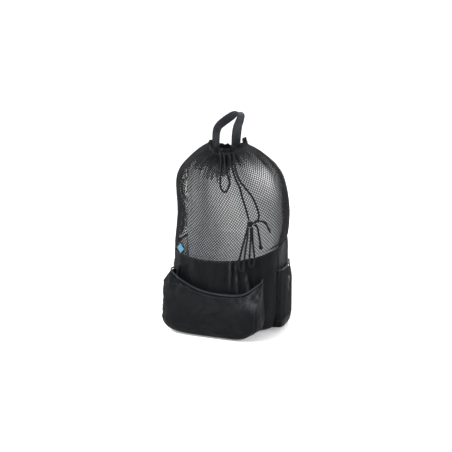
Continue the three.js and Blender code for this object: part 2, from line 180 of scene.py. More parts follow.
def upLine(tree, axis, angle, low, high, step=lineStep):
    # the wall's outer face from bottom to top at one angle
    hits = [outerHit(tree, axis, angle, height) for height in np.arange(low, high, step)]
    return np.array([hit for hit in hits if hit])


def nearestOn(tree, points):
    return np.array([tree.find_nearest(Vector(point))[0] for point in points])


# how deep a sewn edge is, how far its points look for the least gap, and the gap that stays;
# an edge within "near" of the wall is drawn fully to it, and one past "far" isn't
sewing = {"edge": 9 * mm, "reach": 12 * mm, "gap": 0.3 * mm, "near": 6 * mm, "far": 9 * mm}


def sewnOn(points, tree):
    # how far cloth moves so that an edge that is sewn to a wall meets it
    edge, reach = sewing["edge"], sewing["reach"]
    nearest = nearestOn(tree, points)
    away = np.linalg.norm(nearest - points, axis=1)
    lookup = kdtree.KDTree(len(points))
    for index, point in enumerate(points):
        lookup.insert(point, index)
    lookup.balance()
    least = away.copy()
    for index in np.flatnonzero(away < edge + reach):
        least[index] = min(away[other] for _, other, _ in lookup.find_range(points[index], reach))
    share = (1 - ramp(away - least, 0, edge)) * (1 - ramp(least, sewing["near"], sewing["far"]))
    move = np.clip(least - sewing["gap"], 0, None) * share / np.maximum(away, tiny)
    return (nearest - points) * move[:, None]


def finishPiece(piece, slotName, material, *nodes):
    piece.data.materials.clear()
    piece.data.materials.append(material)
    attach(piece, "root")
    if nodes:
        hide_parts(*nodes)
    return piece


# Materials

def linear(hexColour):
    channels = [int(hexColour[k:k + 2], 16) / 255 for k in (1, 3, 5)]
    return [c / 12.92 if c <= 0.04045 else ((c + 0.055) / 1.055) ** 2.4 for c in channels] + [1]


def fillNode(tree, node, values):
    for socket, value in values.items():
        if isinstance(value, bpy.types.NodeSocket):
            tree.links.new(value, node.inputs[socket])
        else:
            node.inputs[socket].default_value = value


def addNode(tree, kind, values=None, **settings):
    made = tree.nodes.new(kind)
    for key, value in settings.items():
        setattr(made, key, value)
    fillNode(tree, made, values or {})
    return made


def newMaterial(name):
    material = bpy.data.materials.new(name)
    material.use_nodes = True
    shader = material.node_tree.nodes["Principled BSDF"]
    return material, material.node_tree, shader


def wovenNylon():
    # plain-woven nylon: a fine grid of threads with a soft sheen, and a painted highlight that draws the
    # ridges of folds and puffs paler.
    # Its threads are 0.4 mm; the grid is drawn at 2.4 mm so that it shows.
    material, tree, shader = newMaterial("wovenNylon")
    grid = 2.4 * mm
    patch = 71.4 * mm  # rubbed patches
    pucker = 18.2 * mm  # small creases
    threadShare = 0.16  # height of the threads beside the creases
    place = addNode(tree, "ShaderNodeUVMap", uv_map="cloth").outputs["UV"]
    turns = addNode(tree, "ShaderNodeVectorMath", {0: place, 1: [2 * math.pi / grid] * 3},
                    operation="MULTIPLY")
    axes = addNode(tree, "ShaderNodeSeparateXYZ", {0: turns.outputs[0]})
    warp = addNode(tree, "ShaderNodeMath", {0: axes.outputs["X"]}, operation="SINE")
    weft = addNode(tree, "ShaderNodeMath", {0: axes.outputs["Y"]}, operation="SINE")
    weave = addNode(tree, "ShaderNodeMath", {0: warp.outputs[0], 1: weft.outputs[0]}, operation="MULTIPLY")
    spot = addNode(tree, "ShaderNodeTexCoord").outputs["Object"]
    rubbedAndHighlight = addNode(tree, "ShaderNodeTexNoise", {
        "Vector": spot, "Scale": 1 / patch, "Detail": 6, "Roughness": 0.65})
    crease = addNode(tree, "ShaderNodeTexNoise", {
        "Vector": spot, "Scale": 1 / pucker, "Detail": 3, "Roughness": 0.6})
    tone = addNode(tree, "ShaderNodeValToRGB", {"Fac": rubbedAndHighlight.outputs["Fac"]})
    tone.color_ramp.elements[0].position = 0.34
    tone.color_ramp.elements[0].color = linear("#030406")
    tone.color_ramp.elements[1].position = 0.72
    tone.color_ramp.elements[1].color = linear("#090b0e")
    # painted highlight: where the mesh marks a ridge, the colour is mixed towards the pale grey #36383b
    ridge = addNode(tree, "ShaderNodeAttribute", attribute_name="rubbedAndHighlight")
    pale = addNode(tree, "ShaderNodeMix", {
        0: ridge.outputs["Fac"], 6: tone.outputs["Color"], 7: linear("#36383b")}, data_type="RGBA")
    dull = addNode(tree, "ShaderNodeMapRange", {
        "Value": rubbedAndHighlight.outputs["Fac"], "To Min": 0.5, "To Max": 0.66})
    height = addNode(tree, "ShaderNodeMath", {0: weave.outputs[0], 1: threadShare, 2: crease.outputs["Fac"]},
                     operation="MULTIPLY_ADD")
    bump = addNode(tree, "ShaderNodeBump", {
        "Height": height.outputs[0], "Strength": 0.5, "Distance": 1.6 * mm})
    fillNode(tree, shader, {
        "Base Color": pale.outputs[2], "Roughness": dull.outputs["Result"],
        "Normal": bump.outputs["Normal"], "IOR": 1.53, "Specular IOR Level": 0.09,
        "Sheen Weight": 0.01, "Sheen Roughness": 0.4,
    })
    return material


def coatedNylon():
    # inner face of the nylon: a pale waterproof coating, a little uneven, that turns dark towards the neck
    material, tree, shader = newMaterial("coatedNylon")
    cloud = 41.7 * mm  # uneven areas of the coating
    grain = 2.38 * mm  # the weave under it, drawn coarse so that it shows
    darkeningFrom, darkFrom = 385 * mm, 440 * mm  # heights
    spot = addNode(tree, "ShaderNodeTexCoord").outputs["Object"]
    uneven = addNode(tree, "ShaderNodeTexNoise", {
        "Vector": spot, "Scale": 1 / cloud, "Detail": 5, "Roughness": 0.6})
    tone = addNode(tree, "ShaderNodeValToRGB", {"Fac": uneven.outputs["Fac"]})
    tone.color_ramp.elements[0].position = 0.3
    tone.color_ramp.elements[0].color = linear("#e2e5e7")
    tone.color_ramp.elements[1].position = 0.75
    tone.color_ramp.elements[1].color = linear("#f0f2f3")
    axes = addNode(tree, "ShaderNodeSeparateXYZ", {0: spot})
    # darker towards the neck: the colour is mixed towards near-black between these heights
    neckDark = addNode(tree, "ShaderNodeMapRange", {
        "Value": axes.outputs["Z"], "From Min": darkeningFrom, "From Max": darkFrom})
    mixed = addNode(tree, "ShaderNodeMix", {
        0: neckDark.outputs[0], 6: tone.outputs["Color"], 7: linear("#0b0c0e")}, data_type="RGBA")
    weave = addNode(tree, "ShaderNodeTexNoise", {"Vector": spot, "Scale": 1 / grain, "Detail": 2})
    bump = addNode(tree, "ShaderNodeBump", {
        "Height": weave.outputs["Fac"], "Strength": 0.3, "Distance": 0.4 * mm})
    fillNode(tree, shader, {
        "Base Color": mixed.outputs[2], "Normal": bump.outputs["Normal"], "Roughness": 0.5,
    })
    return material


def knittedYarn():
    # knitted polyester net: thin round yarns, black with a dull gleam along each one
    material, tree, shader = newMaterial("knittedYarn")
    mottle = 6.25 * mm  # paler and darker lengths of yarn
    spot = addNode(tree, "ShaderNodeTexCoord").outputs["Object"]
    fibre = addNode(tree, "ShaderNodeTexNoise", {
        "Vector": spot, "Scale": 1 / mottle, "Detail": 4, "Roughness": 0.6})
    tone = addNode(tree, "ShaderNodeValToRGB", {"Fac": fibre.outputs["Fac"]})
    tone.color_ramp.elements[0].position = 0.3
    tone.color_ramp.elements[0].color = linear("#08090b")
    tone.color_ramp.elements[1].position = 0.75
    tone.color_ramp.elements[1].color = linear("#131418")
    bump = addNode(tree, "ShaderNodeBump", {
        "Height": fibre.outputs["Fac"], "Strength": 0.3, "Distance": 0.2 * mm})
    fillNode(tree, shader, {
        "Base Color": tone.outputs["Color"], "Normal": bump.outputs["Normal"], "Roughness": 0.55,
        "IOR": 1.57, "Specular IOR Level": 0.2,
    })
    return material


def wovenWebbing():
    # woven polypropylene webbing: ribs along the band crossed by a slanting twill.
    # The twill's real step is 1.2 mm; it is drawn at 3 mm so that it shows.
    material, tree, shader = newMaterial("wovenWebbing")
    step = 3 * mm
    chevron = 2 * math.pi  # the slant turns back after each step across the band
    fade = 25 * mm  # worn and fresh areas
    place = addNode(tree, "ShaderNodeUVMap", uv_map="cloth").outputs["UV"]
    turns = addNode(tree, "ShaderNodeVectorMath", {0: place, 1: [2 * math.pi / step] * 3},
                    operation="MULTIPLY")
    axes = addNode(tree, "ShaderNodeSeparateXYZ", {0: turns.outputs[0]})
    zigzag = addNode(tree, "ShaderNodeMath", {0: axes.outputs["X"], 1: chevron}, operation="PINGPONG")
    slant = addNode(tree, "ShaderNodeMath", {0: axes.outputs["Y"], 1: zigzag.outputs[0]})
    twill = addNode(tree, "ShaderNodeMath", {0: slant.outputs[0]}, operation="SINE")
    spot = addNode(tree, "ShaderNodeTexCoord").outputs["Object"]
    wornAndHighlight = addNode(tree, "ShaderNodeTexNoise", {
        "Vector": spot, "Scale": 1 / fade, "Detail": 5, "Roughness": 0.6})
    tone = addNode(tree, "ShaderNodeValToRGB", {"Fac": wornAndHighlight.outputs["Fac"]})
    tone.color_ramp.elements[0].position = 0.35
    tone.color_ramp.elements[0].color = linear("#13161a")
    tone.color_ramp.elements[1].position = 0.75
    tone.color_ramp.elements[1].color = linear("#262a31")
    bump = addNode(tree, "ShaderNodeBump", {
        "Height": twill.outputs[0], "Strength": 0.4, "Distance": 0.5 * mm})
    fillNode(tree, shader, {
        "Base Color": tone.outputs["Color"], "Normal": bump.outputs["Normal"], "Roughness": 0.6,
        "IOR": 1.5, "Specular IOR Level": 0.2, "Sheen Weight": 0.08, "Sheen Roughness": 0.45,
    })
    return material


def braidedCord():
    # braided polyester cord: the braid is in the mesh, with a fibrous dull finish on top
    material, tree, shader = newMaterial("braidedCord")
    bundle = 1.11 * mm  # bundles of fibres
    spot = addNode(tree, "ShaderNodeTexCoord").outputs["Object"]
    fibre = addNode(tree, "ShaderNodeTexNoise", {
        "Vector": spot, "Scale": 1 / bundle, "Detail": 3, "Roughness": 0.6})
    tone = addNode(tree, "ShaderNodeValToRGB", {"Fac": fibre.outputs["Fac"]})
    tone.color_ramp.elements[0].position = 0.3
    tone.color_ramp.elements[0].color = linear("#040506")
    tone.color_ramp.elements[1].position = 0.8
    tone.color_ramp.elements[1].color = linear("#0d0e10")
    bump = addNode(tree, "ShaderNodeBump", {
        "Height": fibre.outputs["Fac"], "Strength": 0.35, "Distance": 0.3 * mm})
    fillNode(tree, shader, {
        "Base Color": tone.outputs["Color"], "Normal": bump.outputs["Normal"], "Roughness": 0.62,
        "IOR": 1.57, "Specular IOR Level": 0.15,
    })
    return material


def satinLabel():
    # satin-woven label: pale blue with fine cross threads and a soft gleam
    material, tree, shader = newMaterial("satinLabel")
    run = 4.55 * mm  # length of a thread across, drawn long so that it shows
    slim = 7  # how many times finer it is upwards
    spot = addNode(tree, "ShaderNodeTexCoord").outputs["Object"]
    streak = addNode(tree, "ShaderNodeMapping", {"Vector": spot, "Scale": [1, 1, slim]})
    weave = addNode(tree, "ShaderNodeTexNoise", {
        "Vector": streak.outputs[0], "Scale": 1 / run, "Detail": 3})
    tone = addNode(tree, "ShaderNodeValToRGB", {"Fac": weave.outputs["Fac"]})
    tone.color_ramp.elements[0].position = 0.3
    tone.color_ramp.elements[0].color = linear("#2b5669")
    tone.color_ramp.elements[1].position = 0.75
    tone.color_ramp.elements[1].color = linear("#5489a2")
    bump = addNode(tree, "ShaderNodeBump", {
        "Height": weave.outputs["Fac"], "Strength": 0.3, "Distance": 0.3 * mm})
    fillNode(tree, shader, {
        "Base Color": tone.outputs["Color"], "Normal": bump.outputs["Normal"], "Roughness": 0.45,
        "Specular IOR Level": 0.3,
    })
    return material


def sewingThread():
    # spun polyester thread: a little paler than the cloth that it holds
    material, tree, shader = newMaterial("sewingThread")
    ply = 1.43 * mm  # a turn of the thread's twist
    spot = addNode(tree, "ShaderNodeTexCoord").outputs["Object"]
    twist = addNode(tree, "ShaderNodeTexNoise", {"Vector": spot, "Scale": 1 / ply, "Detail": 2})
    tone = addNode(tree, "ShaderNodeValToRGB", {"Fac": twist.outputs["Fac"]})
    tone.color_ramp.elements[0].color = linear("#1f2226")
    tone.color_ramp.elements[1].color = linear("#43484f")
    fillNode(tree, shader, {
        "Base Color": tone.outputs["Color"], "Roughness": 0.5, "Specular IOR Level": 0.3,
    })
    return material


def paleFloor():
    # matt studio paper: white with hardly any grain
    material, tree, shader = newMaterial("paleFloor")
    cloud = 33.3 * mm  # faint clouds in the paper
    spot = addNode(tree, "ShaderNodeTexCoord").outputs["Object"]
    grain = addNode(tree, "ShaderNodeTexNoise", {"Vector": spot, "Scale": 1 / cloud, "Detail": 2})
    tone = addNode(tree, "ShaderNodeValToRGB", {"Fac": grain.outputs["Fac"]})
    tone.color_ramp.elements[0].color = linear("#f4f4f4")
    tone.color_ramp.elements[1].color = linear("#f7f7f7")
    fillNode(tree, shader, {
        "Base Color": tone.outputs["Color"], "Roughness": 0.9, "Emission Color": linear("#ffffff"),
        "Emission Strength": 0.26,
    })
    return material


nylon = wovenNylon()
coating = coatedNylon()
yarn = knittedYarn()
webbing = wovenWebbing()
braid = braidedCord()
satin = satinLabel()
thread = sewingThread()
print("materials made")


# Camera at the photo's angle

view = {"azimuth": 20, "elevation": 13, "distance": 2.2, "target": (0, 0, 0.253), "lens": 69.3,
        "sensor": 36, "shift": -0.011}


def makeCamera():
    turn = math.radians(view["azimuth"])
    rise = math.radians(view["elevation"])
    toward = Vector((math.sin(turn) * math.cos(rise), -math.cos(turn) * math.cos(rise), math.sin(rise)))
    camera = bpy.data.objects.new("camera", bpy.data.cameras.new("camera"))
    camera.data.lens = view["lens"]
    camera.data.sensor_width = view["sensor"]
    camera.data.shift_x = view["shift"]
    camera.location = Vector(view["target"]) + toward * view["distance"]
    camera.rotation_euler = toward.to_track_quat("Z", "Y").to_euler()
    scene.collection.objects.link(camera)
    scene.camera = camera


makeCamera()
print("camera placed")


# Drawcord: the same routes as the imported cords, in mm

cordMake = {"diameter": 5 * mm, "pitch": 13 * mm, "strands": 4, "relief": 0.09, "sides": 16,
            "step": 1.1 * mm, "curveSteps": 24, "aside": (0.3, 0.5, 0.8)}
cordRoutes = {
    "cord_strand_left": [
        (9, -46.3, 444), (15, -55.3, 445), (22, -67.3, 439), (32, -84.3, 420.5), (43, -94.8, 400),
        (50, -98.8, 387), (59, -100.8, 372), (66, -101.8, 348), (73, -101.8, 328), (79, -100.8, 305),
        (82.5, -100.8, 294.5),
    ],
    "cord_strand_right": [
        (15.5, -43.3, 444), (23, -52.3, 445.5), (32, -66.3, 439), (40, -83.3, 422), (49, -93.8, 403),
        (59, -97.8, 387), (73, -97.3, 370), (86, -93.8, 353), (95, -91.8, 335), (101, -90.8, 319),
        (104, -90.8, 304), (101, -92.8, 295), (93.5, -96.3, 290.5),
    ],
    "cord_bight": [
        (-11.5, -47.8, 444), (-8, -56.3, 445), (0, -70.3, 437.5), (6, -86.3, 420.5), (9, -98.8, 396),
        (11, -104.3, 375), (19, -106.3, 361), (29, -105.8, 365), (34, -102.8, 381), (29.5, -99.3, 396),
        (21.5, -94.8, 408.5), (15, -83.3, 425), (8, -69.3, 439.5), (0, -56.3, 446), (-4.5, -47.8, 444),
    ],
    "bow_loop_left": [
        (79.5, -100.8, 279), (74, -101.8, 257), (67.5, -102.8, 232), (61.5, -103.8, 207),
        (57.5, -104.3, 187), (60, -104.8, 174), (66, -104.8, 170), (70.5, -104.8, 179),
        (72.5, -104.8, 197), (75.5, -105.3, 225), (80, -106.3, 252), (81.5, -106.8, 277.5),
    ],
    "bow_loop_right": [
        (90, -100.3, 279), (90.5, -98.8, 262), (91, -98.3, 245), (93, -96.8, 222), (95, -95.8, 203),
        (93.5, -96.8, 187), (88.5, -99.3, 180), (84, -100.8, 188), (84.5, -101.8, 207), (86.5, -102.8, 232),
        (88, -103.8, 256), (88, -106.8, 277.5),
    ],
    "cord_end_right": [
        (93, -104.3, 289.5), (100, -100.8, 292), (107, -94.8, 294), (114.5, -88.3, 291), (120, -83.8, 285),
        (124.5, -79.8, 274), (128, -75.8, 263),
    ],
    "cord_end_left": [
        (94, -99.8, 284), (98.5, -96.8, 282.5), (102, -94.8, 276), (104, -93.3, 264), (106.5, -91.3, 248),
        (108.2, -89.8, 233),
    ],
}


def braidTube(name, line):
    # a tube whose surface rises where two sets of strands cross
    radius = cordMake["diameter"] / 2
    sides, strands = cordMake["sides"], cordMake["strands"]
    along = lengthAlong(line)
    tangents = unit(np.gradient(line, axis=0))
    normal = np.cross(tangents[0], cordMake["aside"])  # aside is a way that no cord starts in
    points = []
    for place, tangent, run in zip(line, tangents, along):
        normal = normal - tangent * normal.dot(tangent)
        normal /= np.linalg.norm(normal)
        side = np.cross(tangent, normal)
        for k in range(sides):
            angle = 2 * math.pi * k / sides
            twist = 2 * math.pi * run / cordMake["pitch"]
            ways = [math.cos(strands * angle + way * twist * strands / 2) for way in (1, -1)]
            grow = 1 + cordMake["relief"] * (max(ways) - 1)
            points.append(place + radius * grow * (math.cos(angle) * normal + math.sin(angle) * side))
    piece = addPiece(name, points, tubeFaces(len(line), sides))
    piece.data.shade_smooth()
    return piece


def knotLine(centre, room, turns=3, bights=4, squeeze=0.14, points=150):
    # a cord that goes round three times and crosses itself, drawn tight
    angle = np.linspace(0, 2 * math.pi * turns, points)
    wave = angle * bights / turns
    out = 1 - squeeze + squeeze * np.cos(2 * wave)
    line = np.stack([out * np.cos(angle), out * np.sin(angle), np.sin(wave)], axis=1)
    return np.asarray(centre) + line * np.asarray(room)


def makeKnot(name, node, inset):
    low, high = (np.array(corner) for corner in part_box(node))
    room = (high - low) / 2 - inset
    piece = braidTube(name, knotLine((low + high) / 2, room))
    return finishPiece(piece, "black_cord", braid, node)


def makeCords():
    knots = {
        "bow_knot": makeKnot("bow_knot", "cord_knot", inset=2.4 * mm),
        "tip_knot": makeKnot("tip_knot", "cord_tip_knot", inset=1.2 * mm),
    }
    for name, route in cordRoutes.items():
        smooth = catmull(np.array(route) * mm, cordMake["curveSteps"])
        length = lengthAlong(smooth)[-1]
        line = pointsAt(smooth, np.linspace(0, 1, round(length / cordMake["step"]) + 1))
        piece = finishPiece(braidTube(name + "_braid", line), "black_cord", braid, name)
        print("cord", name, round(length, 3))


makeCords()


# Stitches: short beads of thread along a sewn line, made by one node tree

stitchMake = {"length": 2.4 * mm, "pitch": 3.6 * mm, "thickness": 0.8 * mm, "lift": 0.25 * mm,
              "wallStep": 1 * mm, "fewest": 3}


def stitchTree():
    tree = bpy.data.node_groups.new("stitches", "GeometryNodeTree")
    tree.interface.new_socket("Geometry", in_out="INPUT", socket_type="NodeSocketGeometry")
    for name in ("Length", "Pitch", "Thickness"):
        tree.interface.new_socket(name, in_out="INPUT", socket_type="NodeSocketFloat")
    tree.interface.new_socket("Geometry", in_out="OUTPUT", socket_type="NodeSocketGeometry")
    given = addNode(tree, "NodeGroupInput").outputs
    line = addNode(tree, "GeometryNodeMeshToCurve", {"Mesh": given["Geometry"]})
    spaced = addNode(tree, "GeometryNodeResampleCurve", {"Curve": line.outputs[0], "Length": given["Pitch"]},
                     mode="LENGTH")
    bead = addNode(tree, "GeometryNodeMeshUVSphere", {"Segments": 6, "Rings": 4, "Radius": 0.5})
    size = addNode(tree, "ShaderNodeCombineXYZ", {
        0: given["Thickness"], 1: given["Thickness"], 2: given["Length"]})
    shaped = addNode(tree, "GeometryNodeTransform", {"Geometry": bead.outputs[0], "Scale": size.outputs[0]})
    tangent = addNode(tree, "GeometryNodeInputTangent")
    turned = addNode(tree, "FunctionNodeAlignRotationToVector", {"Vector": tangent.outputs[0]}, axis="Z")
    placed = addNode(tree, "GeometryNodeInstanceOnPoints", {
        "Points": spaced.outputs[0], "Instance": shaped.outputs[0], "Rotation": turned.outputs[0]})
    real = addNode(tree, "GeometryNodeRealizeInstances", {0: placed.outputs[0]})
    dressed = addNode(tree, "GeometryNodeSetMaterial", {"Geometry": real.outputs[0], "Material": thread})
    addNode(tree, "NodeGroupOutput", {0: dressed.outputs[0]})
    return tree


def setInputs(modifier, values):
    sockets = {item.name: item.identifier for item in modifier.node_group.interface.items_tree
               if item.in_out == "INPUT"}
    for name, value in values.items():
        modifier[sockets[name]] = value


stitcher = stitchTree()


def sew(name, lines, slotName):
    points, edges = [], []
    for line in lines:
        edges += [(len(points) + i, len(points) + i + 1) for i in range(len(line) - 1)]
        points += list(line)
    piece = addPiece(name, points, edges=edges)
    modifier = piece.modifiers.new("stitches", "NODES")
    modifier.node_group = stitcher
    setInputs(modifier, {"Length": stitchMake["length"], "Pitch": stitchMake["pitch"],
                         "Thickness": stitchMake["thickness"]})
    plainMesh(piece)
    piece.data.shade_smooth()
    return finishPiece(piece, slotName, thread)


def sewLine(tree, axis, angles, low, high, fromTop):
    # a line at a distance below a wall's top edge, which is looked for between two heights
    line = []
    for angle in angles:
        wall = upLine(tree, axis, angle, low, high, stitchMake["wallStep"])
        if len(wall) < stitchMake["fewest"]:
            continue
        run = lengthAlong(wall)
        share = (run[-1] - fromTop) / run[-1]
        out = np.array([math.cos(angle), math.sin(angle), 0])
        line.append(pointsAt(wall, [np.clip(share, 0, 1)])[0] + out * stitchMake["lift"])
    return np.array(line)


# Nylon tub: the lower part, creased and crumpled above a smooth foot

# facesIn and facesUp say how far a face has to turn that way to be an inner one
tub = {"levels": 3, "crumple": 1.6 * mm, "crumpleSize": 45 * mm, "wrinkle": 2.4 * mm,
       "wrinkleSize": (30 * mm, 30 * mm, 90 * mm), "smoothTo": 8 * mm, "creasedFrom": 40 * mm, "rim": 6 * mm,
       "highlightDepth": 4 * mm, "halfWidth": 0.142, "halfDepth": 0.101, "rimBins": 45, "facesIn": 0.2,
       "facesUp": 0.5, "baseBelow": 0.1}
# folds round the tub: angle and width in degrees, -90 is the front; depth is in mm and sinks in,
# and a negative one stands out
tubFolds = [
    {"angle": -80.4, "lean": 3, "width": 1.8, "depth": 3.6, "low": 0.095, "high": 0.2},
    {"angle": -76.8, "lean": 2, "width": 1.5, "depth": -3.2, "low": 0.09, "high": 0.2},
    {"angle": -73.4, "lean": 0, "width": 1.5, "depth": 3.6, "low": 0.095, "high": 0.2},
    {"angle": -70, "lean": -2, "width": 1.5, "depth": -3.4, "low": 0.09, "high": 0.205},
    {"angle": -66.2, "lean": -5, "width": 1.9, "depth": 4, "low": 0.085, "high": 0.2},
    {"angle": -60.5, "lean": -10, "width": 1.9, "depth": -3.4, "low": 0.085, "high": 0.2},
    {"angle": -54, "lean": -14, "width": 2.4, "depth": 3.6, "low": 0.07, "high": 0.19},
    {"angle": -101, "lean": 6, "width": 3, "depth": 2.2, "low": 0.1, "high": 0.2},
    {"angle": -118, "lean": -8, "width": 3, "depth": -1.2, "low": 0.12, "high": 0.21},
    {"angle": 60, "lean": 8, "width": 4, "depth": 1.6, "low": 0.05, "high": 0.21},
    {"angle": 118, "lean": -7, "width": 4, "depth": 1.8, "low": 0.04, "high": 0.2},
    {"angle": 172, "lean": 5, "width": 3, "depth": 1.5, "low": 0.06, "high": 0.21},
]
foldEnds = {"in": (0, 0.35), "out": (0.75, 1.05)}  # shares of a fold's height over which it comes and goes
unevenness = {"fallOff": 0.8, "step": 2, "octaves": 3}
# how unevenly the painted highlight on fold ridges runs along them
highlightSpread = {"mean": 0.45, "swing": 1.1, "size": 9 * mm, "stretch": 3, "least": 0.1, "most": 1.4}


def foldShift(points, folds):
    # how far folds draw points inwards
    angles = np.degrees(np.arctan2(points[:, 1] / tub["halfDepth"], points[:, 0] / tub["halfWidth"]))
    shift = np.zeros(len(points))
    for fold in folds:
        share = (points[:, 2] - fold["low"]) / (fold["high"] - fold["low"])
        middle = fold["angle"] + fold["lean"] * (share - 0.5)
        away = (angles - middle + 180) % 360 - 180
        ends = ramp(share, *foldEnds["in"]) * (1 - ramp(share, *foldEnds["out"]))
        shift += fold["depth"] * mm * np.exp(-(away / fold["width"]) ** 2) * ends
    return shift


def crumple(points, size, stretch, seed):
    # soft unevenness of handled cloth, from about -1 to 1
    spots = points / np.array([size, size, size * stretch]) + seed
    return np.array([noise.fractal(Vector(spot), *unevenness.values()) for spot in spots])


def wrinkles(points, sizes, seed, sharpness=3, mean=0.3):
    # sharp little ridges of creased cloth, about a mean
    spots = points / np.asarray(sizes) + seed
    ridges = np.array([1 - abs(noise.noise(Vector(spot))) * 2 for spot in spots])
    return np.clip(ridges, 0, 1) ** sharpness - mean


def unevenHighlight(points):
    # uneven strength of the painted highlight along the ridges of folds
    highlightStrengths = highlightSpread["mean"] + highlightSpread["swing"] * crumple(points, highlightSpread["size"], highlightSpread["stretch"], seed=1.7)
    return np.clip(highlightStrengths, highlightSpread["least"], highlightSpread["most"])


def outward(points):
    # level way out of the bag, whose plan is an oval
    return unit(points / (tub["halfWidth"] ** 2, tub["halfDepth"] ** 2, 1) * (1, 1, 0))


def wrapUv(piece, radius=0.125):
    # cloth coordinates in metres: round the bag and up it
    mesh = piece.data
    layer = mesh.uv_layers.new(name="cloth")
    points = meshPoints(piece)
    angles = np.arctan2(points[:, 1], points[:, 0])
    for face in mesh.polygons:
        first = angles[face.vertices[0]]
        for loop, vertex in zip(face.loop_indices, face.vertices):
            turn = (angles[vertex] - first + math.pi) % (2 * math.pi) - math.pi + first
            layer.data[loop].uv = (turn * radius, points[vertex, 2])


def makeTub():
    piece = softCopy("base_tub", "tub_cloth", tub["levels"])
    points = meshPoints(piece)
    standing = ramp(points[:, 2], tub["smoothTo"], tub["creasedFrom"])
    folds = foldShift(points, tubFolds)
    # painted highlight: the ridges of folds that stand out are drawn paler
    setPaintedHighlight(piece, -folds / tub["highlightDepth"] * unevenHighlight(points))
    move = tub["crumple"] * crumple(points, tub["crumpleSize"], stretch=1.8, seed=3.1) - folds
    move += tub["wrinkle"] * wrinkles(points, tub["wrinkleSize"], seed=2.3)
    setPoints(piece, points + outward(points) * (move * standing)[:, None])
    wrapUv(piece)
    finishPiece(piece, "black_nylon", nylon, "base_tub")
    piece.data.materials.append(coating)
    centres = np.array([face.center for face in piece.data.polygons])
    normals = np.array([face.normal for face in piece.data.polygons])
    # the inner face below the rim, whose height differs round the bag, is coated
    turns = ((np.arctan2(centres[:, 1], centres[:, 0]) / math.pi + 1) * tub["rimBins"]).astype(int)
    rims = np.array([centres[turns == k, 2].max() for k in range(turns.max() + 1)])
    inside = (normals * outward(centres)).sum(axis=1) < -tub["facesIn"]
    inside |= (normals[:, 2] > tub["facesUp"]) & (centres[:, 2] < tub["baseBelow"])
    inside &= centres[:, 2] < rims[turns] - tub["rim"]
    piece.data.polygons.foreach_set("material_index", inside.astype(int))
    return piece


tubPiece = makeTub()
tubTree = treeOf(tubPiece)
print("tub made")


# Net: yarns that swing from side to side and meet their neighbours, so that diamonds open between them

net = {"levels": 2, "cellWidth": 7.4 * mm, "cellHeight": 7.6 * mm, "yarn": 2.2 * mm, "sides": 4,
       "touch": 0.1, "axis": (-0.004, 0), "lines": 240, "tuckIn": 2.6 * mm, "tuckDown": 9 * mm,
       "tuckUp": 4 * mm, "hemIn": 3.4 * mm, "hemUp": 6 * mm, "soft": 1.2 * mm, "softSize": 50 * mm}
# shares of the net's height over which gathers come in and ease off again under the hem,
# and over which its softness comes and goes
netShares = {"gather": (0.62, 1), "ease": (0.97, 1), "easeTo": 0.3, "softIn": (0, 0.1), "softOut": (0.85, 1)}
# painted shade: a loose layer of dark net behind the neck, where the gathers cast shade; it hangs lowest at
# the front, and its lower edge is ragged
neckShade = {"from": 0.66, "depth": 5 * mm, "spread": 0.26, "yarn": 2.4 * mm, "rise": 0.75, "ragged": 0.35,
          "leastRows": 4, "used": 0.55}
# plain nylon back that carries the straps: its half width is a share of the way round the bag
panel = {"half": 0.2, "columns": 120, "wall": 1.2 * mm, "wrinkle": 1.4 * mm,
         "wrinkleSize": (34 * mm, 34 * mm, 80 * mm), "sewn": 0.196, "stitchLift": 1.2 * mm, "coatedTo": 0.97,
         "down": 85 * mm, "downIn": 4 * mm, "downRows": 10}
# gathers at the neck: folds round the bag, how deep each is at the neck, and its turn
gathers = [
    {"count": 23, "depth": 1.6, "turn": 0.4},
    {"count": 37, "depth": 1.3, "turn": 2.1},
    {"count": 9, "depth": 1.6, "turn": 1.2},
]


def yarnTree():
    tree = bpy.data.node_groups.new("net yarns", "GeometryNodeTree")
    tree.interface.new_socket("Geometry", in_out="INPUT", socket_type="NodeSocketGeometry")
    tree.interface.new_socket("Thickness", in_out="INPUT", socket_type="NodeSocketFloat")
    tree.interface.new_socket("Sides", in_out="INPUT", socket_type="NodeSocketInt")
    tree.interface.new_socket("Geometry", in_out="OUTPUT", socket_type="NodeSocketGeometry")
    given = addNode(tree, "NodeGroupInput").outputs
    line = addNode(tree, "GeometryNodeMeshToCurve", {"Mesh": given["Geometry"]})
    half = addNode(tree, "ShaderNodeMath", {0: given["Thickness"], 1: 0.5}, operation="MULTIPLY")
    section = addNode(tree, "GeometryNodeCurvePrimitiveCircle", {
        "Resolution": given["Sides"], "Radius": half.outputs[0]})
    tube = addNode(tree, "GeometryNodeCurveToMesh", {
        "Curve": line.outputs[0], "Profile Curve": section.outputs[0], "Fill Caps": True})
    real = addNode(tree, "GeometryNodeRealizeInstances", {0: tube.outputs[0]})
    dressed = addNode(tree, "GeometryNodeSetMaterial", {"Geometry": real.outputs[0], "Material": yarn})
    addNode(tree, "NodeGroupOutput", {0: dressed.outputs[0]})
    return tree


knitter = yarnTree()


